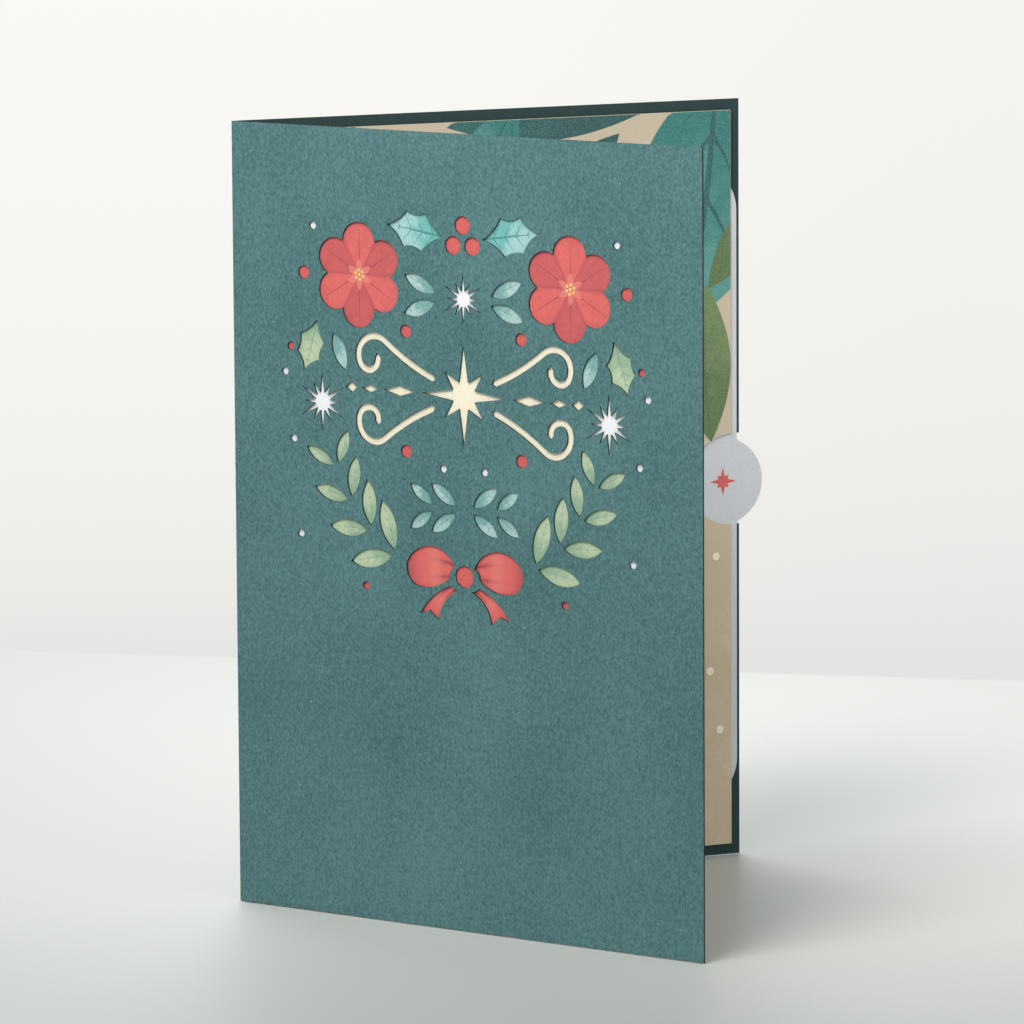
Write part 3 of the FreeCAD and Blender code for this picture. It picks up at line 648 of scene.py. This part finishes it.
garland("print_side_holly", both_sides(side_holly), sage_ink, 1)
small = [leaf_patch(stem, turn, 9.0, 3.5)
         for stem, turn in (((35.6, 16.0), -112), ((7.6, 26.4), 24), ((7.6, 24.4), -20))]
sprig = [leaf_patch((2.4 + 6.4 * i, -21.4 + 0.75 * side), 36 * side, 8.1 * (1 - 0.1 * i),
                    3.15 * (1 - 0.1 * i)) for i in (0, 1) for side in (-1, 1)]
garland("print_small_leaves", both_sides(small + sprig), pale_ink, 1)
flakes = both_sides([round_patch((38.8, 0.2), 7.25)]) + [round_patch((0, 25.4), 6.3)]
garland("print_snowflakes", flakes, white_ink, 1)
loops = [ribbon_patch(((1.9, -35.6), (8.0, -35.0), (15.6, -35.6)), (3.4, 5.9, 4.6))]
tails = [ribbon_patch(((2.3, -38.6), (6.7, -41.9), (10.2, -47.2)), (1.4, 2.2, 3.5))]
garland("print_bow_loops", both_sides(loops), red_ribbon, 1)
garland("print_bow_tails", both_sides(tails), red_ribbon, 2)
garland("print_bow_knot", [round_patch((0, -36.3), 2.8, rings=3, around=16)], berry_ink, 3)

# %% [markdown]
# The holes the size of seeds round the garland show white or red board.

# %% Print the seeds
WHITE_SEEDS = [(46.8, -8.6), (49.0, 6.4), (41.0, 39.6), (45.0, -30.0), (5.6, -12.6)]
RED_SEEDS = [(47.4, 12.2), (27.0, -40.4)]
for name, spots, material in (("print_white_seeds", WHITE_SEEDS, white_ink),
                              ("print_red_seeds", RED_SEEDS, berry_ink)):
    seeds = [round_patch(spot, 1.3, rings=3, around=14) for spot in spots]
    garland(name, both_sides(seeds), material, 1)

# %% [markdown]
# ## The window board and the liner
#
# The board's own face is a blue slate tone, which shows only at the very edge of a window.
# The liner is sand-coloured, with a wash that gets rougher towards the foot of the page. A
# colour that changes with height needs no UV map: the Z of Object coordinates is enough.

# %% Board and liner
board_paper = smooth_paper("slate board", ink(84, 112, 132), ink(72, 98, 120))
liner_paper, tree, shader = new_material("sand liner")
place = object_place(tree)
brush = use(tree, "brush wash", {"Place": place, "Scale": 90.0})
grain = use(tree, "paper fibres", {"Place": place, "Scale": 2400.0})
height = put(tree, "SeparateXYZ", {"Vector": place}).outputs[2]
low = soft_step(tree, height, 0.03, 0.10, 1.0, 0.0)
sand = tinted(tree, soft_step(tree, height, 0.02, 0.11), ink(219, 196, 163), ink(212, 196, 173))
rough = calc(tree, "MULTIPLY", calc(tree, "MAXIMUM", brush["Dabs"],
                                    calc(tree, "MULTIPLY", brush["Cloud"], 0.35)), low)
sand = tinted(tree, calc(tree, "MULTIPLY", rough, 0.55), sand, ink(236, 222, 200))
sand = tinted(tree, calc(tree, "MULTIPLY", grain["Tone"], 0.1), sand, ink(190, 172, 150))
join(tree, sand, shader.inputs["Base Color"])
shader.inputs["Roughness"].default_value = 0.65
shader.inputs["Specular IOR Level"].default_value = 0.3
bump = put(tree, "Bump", {"Height": grain["Height"], "Strength": 0.3, "Distance": 0.00002})
join(tree, bump.outputs[0], shader.inputs["Normal"])

# %% [markdown]
# Broad painted leaves grow in from the edges of the liner, on both pages. They are the same
# leaf patches as on the board, only larger and bent, and trimmed where the sheet ends.

# %% Print the liner
LINER_INK = LINER_DEPTH + INK_LIFT
SHEET = (2.0, 2.7, 124.5, 175.2)
PAGES = ((front_page, "front"), (back_page, "back"))
big_teal = leaf_ink("broad teal ink", ink(40, 124, 119), ink(84, 152, 145), ink(22, 84, 85),
                    pairs=4.0, slant=1.5, wash=70.0)
big_deep = leaf_ink("deep green ink", ink(26, 86, 86), ink(33, 100, 97), ink(18, 68, 70),
                    pairs=4.0, slant=1.5, vein_share=0.5, wash=90.0)
big_olive = leaf_ink("olive ink", ink(92, 118, 70), ink(112, 136, 86), ink(70, 96, 60),
                     pairs=5.0, slant=1.4, vein_share=0.4, wash=90.0)


def liner_print(name, leaves, material, layer):
    """Leaves given as stem, turn, length, width and bend, printed on both pages of the liner."""
    patches = [leaf_patch(stem, turn, length, width, bend, bleed=0.0, rows=40, columns=14)
               for stem, turn, length, width, bend in leaves]
    depth = LINER_INK + LAYER * layer
    for surface, page in PAGES:
        print_piece(f"{name}_{page}", surface, depth, trimmed(patches, *SHEET), material,
                    rise=1, climb=0.008)


liner_print("liner_deep_leaves", [((103, 176), 182, 52, 13, 14), ((30, 176), 250, 46, 14, 20),
                                  ((6, 108), -62, 40, 14, -24), ((110, 58), 205, 34, 10, 18),
                                  ((96, 171), 214, 30, 9, -20)], big_deep, 0)
liner_print("liner_teal_leaves", [((121, 186), 263, 62, 36, -8), ((4, 168), -70, 50, 22, 16),
                                  ((-4, 52), 18, 44, 18, 22), ((70, 180), 236, 34, 13, -18)],
            big_teal, 1)
liner_print("liner_olive_leaves", [((119.4, 98), 92, 38, 13, -10), ((118.6, 134), 60, 26, 8, 22),
                                   ((40, -2), 74, 38, 12, -16), ((16, 146), -40, 32, 9, -22),
                                   ((82, 8), 112, 30, 10, 20)], big_olive, 2)
sparks = [(108, 74), (116.5, 66.5), (120.6, 71), (112, 52), (119, 44), (108.5, 38), (121.5, 30),
          (114, 22), (92, 50), (70, 26), (60, 44), (30, 30), (20, 70), (104, 14), (52, 16)]
for surface, page in PAGES:
    gold = [round_patch(spot, 0.95, rings=2, around=16) for spot in sparks[::2]]
    snow = [round_patch(spot, 0.7, rings=2, around=14) for spot in sparks[1::2]]
    top = LINER_INK + 4 * LAYER
    print_piece(f"liner_gold_dots_{page}", surface, top, gold, foil, rise=1)
    print_piece(f"liner_white_dots_{page}", surface, top, snow, white_ink, rise=1)

# %% [markdown]
# ## The note
#
# The note is plain white card. Only its round tab has something printed on it, so that it can
# be found: a small red star.

# %% Print the tab
TAB = (122.6, 88.5)
note_paper = smooth_paper("white note card", ink(219, 221, 226), ink(211, 213, 218), 0.5)


def star_patch(centre, radius, rays=8, short=0.62, valley=0.4):
    """A star: a disc whose radius runs straight from long ray to valley to short ray."""
    corners = np.arange(2 * rays + 1)
    reach = np.where(corners % 2 == 1, valley, np.where(corners % 4 == 0, 1.0, short)) * radius
    angle = np.radians(90) + corners * np.pi / rays
    rim = np.stack([reach * np.cos(angle), reach * np.sin(angle)], axis=-1)
    share = np.linspace(0, 1, 3)
    points = np.array(centre) + share[:, None, None] * rim
    uv = np.stack(np.broadcast_arrays(corners / (2 * rays), share[:, None]), axis=-1)
    return points, uv


print_piece("tab_star", back_page, NOTE_DEPTH + INK_LIFT, [star_patch(TAB, 3.4)], berry_ink,
            "note", rise=1)

# %% [markdown]
# ## The pop-up
#
# The three wreaths are cut from papers of three greens, the deepest nearest the fold. Each
# leaf of their rims has a darker midrib. The leaves stand in even steps round the middle of
# the crease, so the angle about it, counted in steps, finds each rib. The flat arms at the
# sides, which reach the pages, have none.

# %% Wreath papers
POPUP_MIDDLE = 88.9
POPUP_HEIGHT = POPUP_MIDDLE * MM
ARM_HALF = 0.009
tree, given, wanted = group_of("wreath leaves", {"Place": "Vector", "Crease": "Float",
                                                 "Foot": "Float", "Step": "Float"},
                               {"Rim": "Float", "Rib": "Float"})
split = put(tree, "SeparateXYZ", {"Vector": given["Place"]})
off = calc(tree, "SUBTRACT", split.outputs[0], given["Crease"])
flat = put(tree, "CombineXYZ", {"X": off, "Y": split.outputs[1]})
sideways = put(tree, "VectorMath", {0: flat.outputs[0]}, operation="LENGTH").outputs["Value"]
upwards = calc(tree, "ABSOLUTE", calc(tree, "SUBTRACT", split.outputs[2], POPUP_HEIGHT))
angle = calc(tree, "DEGREES", calc(tree, "ARCTAN2", sideways, upwards))
ray = put(tree, "CombineXYZ", {"X": sideways, "Y": upwards})
reach = put(tree, "VectorMath", {0: ray.outputs[0]}, operation="LENGTH").outputs["Value"]
rim = soft_step(tree, calc(tree, "SUBTRACT", reach, given["Foot"]), -0.001, 0.008)
count = calc(tree, "ADD", calc(tree, "DIVIDE", angle, given["Step"]), 0.5)
off_rib = calc(tree, "ABSOLUTE", calc(tree, "SUBTRACT", calc(tree, "FRACT", count), 0.5))
rib = calc(tree, "LESS_THAN", off_rib, calc(tree, "MULTIPLY_ADD", rim, -0.03, 0.045))
leafy = calc(tree, "MULTIPLY", calc(tree, "GREATER_THAN", rim, 0.08),
             calc(tree, "LESS_THAN", rim, 0.86))
leafy = calc(tree, "MULTIPLY", leafy, calc(tree, "GREATER_THAN", upwards, ARM_HALF))
join(tree, rim, wanted["Rim"])
join(tree, calc(tree, "MULTIPLY", rib, leafy), wanted["Rib"])


def wreath_paper(name, band, tips, rib, crease, foot, step):
    """Dyed paper for one wreath, with lighter leaf tips and darker ribs.

    The leaves start at a foot radius about the crease, one each step of so many degrees.
    """
    material, tree, shader = new_material(name)
    place = object_place(tree)
    leaves = use(tree, "wreath leaves", {"Place": place, "Crease": crease, "Foot": foot,
                                         "Step": step})
    brush = use(tree, "brush wash", {"Place": place, "Scale": 200.0})
    grain = use(tree, "paper fibres", {"Place": place, "Scale": 2400.0})
    share = calc(tree, "MULTIPLY_ADD", brush["Cloud"], 0.2, leaves["Rim"])
    colour = tinted(tree, calc(tree, "MINIMUM", share, 1.0), band, tips)
    colour = tinted(tree, calc(tree, "MULTIPLY", leaves["Rib"], 0.8), colour, rib)
    join(tree, colour, shader.inputs["Base Color"])
    shader.inputs["Roughness"].default_value = 0.7
    shader.inputs["Specular IOR Level"].default_value = 0.3
    bump = put(tree, "Bump", {"Height": grain["Height"], "Strength": 0.4, "Distance": 0.00003})
    join(tree, bump.outputs[0], shader.inputs["Normal"])
    return material


wreaths = {
    "popup_inner_layer": wreath_paper("deep wreath paper", ink(28, 92, 92), ink(52, 124, 118),
                                      ink(18, 66, 70), crease=0.0493, foot=0.016,
                                      step=24.0),
    "popup_middle_layer": wreath_paper("teal wreath paper", ink(88, 160, 156), ink(150, 204, 200),
                                       ink(52, 120, 122), crease=0.0735, foot=0.030,
                                       step=21.3),
    "popup_outer_layer": wreath_paper("sage wreath paper", ink(132, 168, 136), ink(186, 206, 168),
                                      ink(104, 142, 116), crease=0.0978, foot=0.044,
                                      step=17.67),
}

# %% [markdown]
# Four red paper flowers are glued on the outer wreath. Their petals get paler towards the
# heart, which is gold paper. All four are mirror images about the middle of the pop-up, so
# one formula on absolute distances colours them all.

# %% Flower papers
BLOOM = (0.0739, 0.0138, 0.0276)
bloom_paper, tree, shader = new_material("red flower paper")
place = object_place(tree)
split = put(tree, "SeparateXYZ", {"Vector": place})
off = put(tree, "CombineXYZ", {
    "X": calc(tree, "SUBTRACT", split.outputs[0], BLOOM[0]),
    "Y": calc(tree, "SUBTRACT", calc(tree, "ABSOLUTE", split.outputs[1]), BLOOM[1]),
    "Z": calc(tree, "SUBTRACT", calc(tree, "ABSOLUTE", calc(tree, "SUBTRACT", split.outputs[2],
                                                            POPUP_HEIGHT)), BLOOM[2])})
reach = put(tree, "VectorMath", {0: off.outputs[0]}, operation="LENGTH").outputs["Value"]
grain = use(tree, "paper fibres", {"Place": place, "Scale": 2400.0})
share = calc(tree, "ADD", soft_step(tree, reach, 0.0025, 0.008),
             calc(tree, "MULTIPLY_ADD", grain["Tone"], 0.2, -0.1))
join(tree, tinted(tree, share, ink(236, 140, 128), ink(204, 84, 84)), shader.inputs["Base Color"])
shader.inputs["Roughness"].default_value = 0.7
shader.inputs["Specular IOR Level"].default_value = 0.3
bump = put(tree, "Bump", {"Height": grain["Height"], "Strength": 0.4, "Distance": 0.00003})
join(tree, bump.outputs[0], shader.inputs["Normal"])
tape_paper = smooth_paper("foam tape", ink(232, 231, 226), ink(222, 221, 216), 0.8)

# %% [markdown]
# Small berries and gold dots are printed on the bands of the wreaths. A panel leans a little
# less than the page it starts from, because the liner lifts its glue tab, so its direction is
# worked out from where it leaves the liner and from its length, which is its reach.

# %% Print the wreaths
INNER_REACH, MIDDLE_REACH, OUTER_REACH = 28.0, 42.0, 56.0


def panel(side, reach):
    """A surface: the distance from a layer's middle crease, the height and the lift, in mm."""
    lifted = LINER_DEPTH + PAGE_OFFSET
    foot = (reach * math.cos(HALF_ANGLE) + lifted * math.sin(HALF_ANGLE),
            reach * math.sin(HALF_ANGLE) - lifted * math.cos(HALF_ANGLE))
    crease = foot[0] + math.sqrt(reach ** 2 - foot[1] ** 2)
    slant, swing = (crease - foot[0]) / reach, foot[1] / reach

    def surface(away, height, lift):
        x = crease - away * slant + lift * swing
        y = side * (away * swing + lift * slant)
        return np.stack([x, y, np.broadcast_to(height, np.shape(x))], axis=-1) * MM

    return surface


def band_dots(name, reach, radius, angles, size, material):
    """Dots in a ring on both panels of a layer, above and below the middle."""
    spots = [polar(radius, turn * angle) for angle in angles for turn in (1, -1)]
    dots = [round_patch((x, POPUP_MIDDLE + y), size, rings=3, around=16) for x, y in spots]
    for side, page in ((FRONT, "front"), (BACK, "back")):
        print_piece(f"{name}_{page}", panel(side, reach), INK_LIFT, dots, material, rise=1)


band_dots("wreath_berries", OUTER_REACH, 40.0, (86, 81, 63, 58, 32, 27), 1.05, berry_ink)
band_dots("wreath_gold_dots", MIDDLE_REACH, 25.0, (80, 47, 40, 8), 0.8, foil)
band_dots("wreath_white_dots", INNER_REACH, 13.2, (76, 52, 28), 0.6, white_ink)

# %% Dress the sheets
finishes = {"cover": felt_card, "window_board": board_paper, "liner": liner_paper,
            "note_card": note_paper, **wreaths}
for name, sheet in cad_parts.items():
    if name.endswith("_petals"):
        finish = bloom_paper
    elif name.endswith("_heart"):
        finish = heart_paper
    else:
        finish = finishes.get(name, tape_paper)
    sheet.data.materials.clear()
    sheet.data.materials.append(finish)
print("dressed", len(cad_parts), "sheets")

# %% [markdown]
# ## The studio
#
# The card stands on a pale table in front of a wall. The wall is only painted here, as a glowing
# part of a very wide floor, so that nothing stands in the way when the card is seen from behind.
# It meets the table along a slanting line. Its glow is painted light and shade: it lightens as it
# goes back, and is a little darker towards the right of the picture. The table's own colour holds
# painted shade and light as well: it is darker towards the front, and paler towards the right,
# where it lifts the card's shadow. Away from the picture's own view that line blurs, and far from
# the card all of the floor fades to one pale glowing tone.

# %% Floor
FLOOR_HALF = 8.0
FLOOR_DROP = 0.0002
WALL_FOOT = 0.35
VIEW_MIDDLE, VIEW_HALF = 0.03, 0.15
sweep = bpy.data.meshes.new("floor")
corners = FLOOR_HALF * np.array([(-1, -1), (1, -1), (1, 1), (-1, 1)])
sweep.from_pydata([(x, y, -FLOOR_DROP) for x, y in corners], [], [(0, 1, 2, 3)])
floor = bpy.data.objects.new("floor", sweep)
bpy.context.scene.collection.objects.link(floor)
pale, tree, shader = new_material("pale sweep")
split = put(tree, "SeparateXYZ", {"Vector": object_place(tree)})
side, back = split.outputs[0], split.outputs[1]
# Painted shade on the table: darker towards the front. Towards the right it is blended a quarter
# of the way to a paler tone, painted light that lifts the card's shadow there.
ground_painted_light_and_shade = tinted(tree, soft_step(tree, back, -0.16, 0.30), ink(208, 209, 206), ink(248, 247, 242))
ground_painted_light_and_shade = tinted(tree, soft_step(tree, side, 0.0, 0.20, 0.0, 0.25), ground_painted_light_and_shade, ink(242, 241, 237))
# Painted light: the wall's glow lightens as it goes back from its foot.
climb = calc(tree, "SUBTRACT", 1.0, calc(tree, "DIVIDE", WALL_FOOT,
                                         calc(tree, "MAXIMUM", back, WALL_FOOT)))
painted_glow = tinted(tree, climb, ink(229, 229, 227), ink(252, 251, 247))
meeting = calc(tree, "MULTIPLY_ADD", side, -0.126, 0.334)
aside = calc(tree, "ABSOLUTE", calc(tree, "SUBTRACT", side, VIEW_MIDDLE))
aside = calc(tree, "MAXIMUM", calc(tree, "SUBTRACT", aside, VIEW_HALF), 0.0)
blur = calc(tree, "MULTIPLY_ADD", aside, 1.2, 0.003)
past = calc(tree, "DIVIDE", calc(tree, "SUBTRACT", back, meeting), blur)
beyond = soft_step(tree, past, -1.0, 1.0)
fan = calc(tree, "DIVIDE", calc(tree, "ADD", calc(tree, "MULTIPLY_ADD", back, 0.0921, -0.0626),
                                side), calc(tree, "ADD", back, 1.555))
# Painted shade: the wall's glow darkens a little towards the right of the picture.
painted_glow = tinted(tree, soft_step(tree, fan, -0.03, 0.075, 0.0, 0.22), painted_glow, ink(222, 223, 222))
ring = put(tree, "CombineXYZ", {"X": side, "Y": back})
reach = put(tree, "VectorMath", {0: ring.outputs[0]}, operation="LENGTH").outputs["Value"]
far = soft_step(tree, reach, 0.37, 0.66)
painted_glow = tinted(tree, beyond, ink(236, 236, 234), painted_glow)
join(tree, ground_painted_light_and_shade, shader.inputs["Base Color"])
shader.inputs["Roughness"].default_value = 0.4
shader.inputs["Specular IOR Level"].default_value = 0.4
glow = put(tree, "Emission", {"Color": painted_glow})
path = put(tree, "LightPath")
seen = calc(tree, "MAXIMUM", path.outputs["Is Camera Ray"],
            calc(tree, "MAXIMUM", path.outputs["Is Glossy Ray"],
                 path.outputs["Is Transmission Ray"]))
painted = calc(tree, "MULTIPLY", seen, calc(tree, "MAXIMUM", beyond, far))
surface = put(tree, "MixShader", {0: painted, 1: shader.outputs[0], 2: glow.outputs[0]})
join(tree, surface.outputs[0], tree.nodes["Material Output"].inputs["Surface"])
sweep.materials.append(pale)
print("floor", 2 * FLOOR_HALF, "m wide")

# %% [markdown]
# Three soft lamps and a sky light the card. The largest is a window high behind it, a little
# to the left, and its shadow falls forwards. A small warm lamp shines down on the front page,
# so that the page gets darker towards its foot, and the third reaches into the opening.

# %% Lamps and sky
def soft_lamp(name, place, aim, width, watts, spread=180.0, tint=(1.0, 1.0, 1.0)):
    """A square lamp of some width, turned towards a point, whose light fans out by a spread."""
    data = bpy.data.lights.new(name, "AREA")
    data.shape, data.size, data.energy = "SQUARE", width, watts
    data.spread = math.radians(spread)
    data.color = tint
    lamp = bpy.data.objects.new(name, data)
    lamp.location = place
    lamp.rotation_mode = "QUATERNION"
    lamp.rotation_quaternion = (Vector(aim) - Vector(place)).to_track_quat("-Z", "Y")
    bpy.context.scene.collection.objects.link(lamp)


soft_lamp("window", (-0.28, 0.93, 0.95), (0.03, -0.1, 0.0), 0.9, 8.2, tint=(1.0, 0.985, 0.96))
soft_lamp("front", (-0.08, -0.33, 0.55), (0.06, -0.03, 0.21), 0.3, 0.47, 60.0, (1.0, 0.95, 0.91))
soft_lamp("opening", (0.95, -0.75, 0.55), (0.08, 0.03, 0.09), 0.6, 2.3)
sky = bpy.data.worlds.new("sky")
sky.use_nodes = True
sky.node_tree.nodes["Background"].inputs["Color"].default_value = ink(236, 250, 255)
sky.node_tree.nodes["Background"].inputs["Strength"].default_value = 0.385
bpy.context.scene.world = sky
bpy.context.scene.view_settings.view_transform = "Standard"
print("lamps:", ", ".join(lamp.name for lamp in bpy.data.lights))
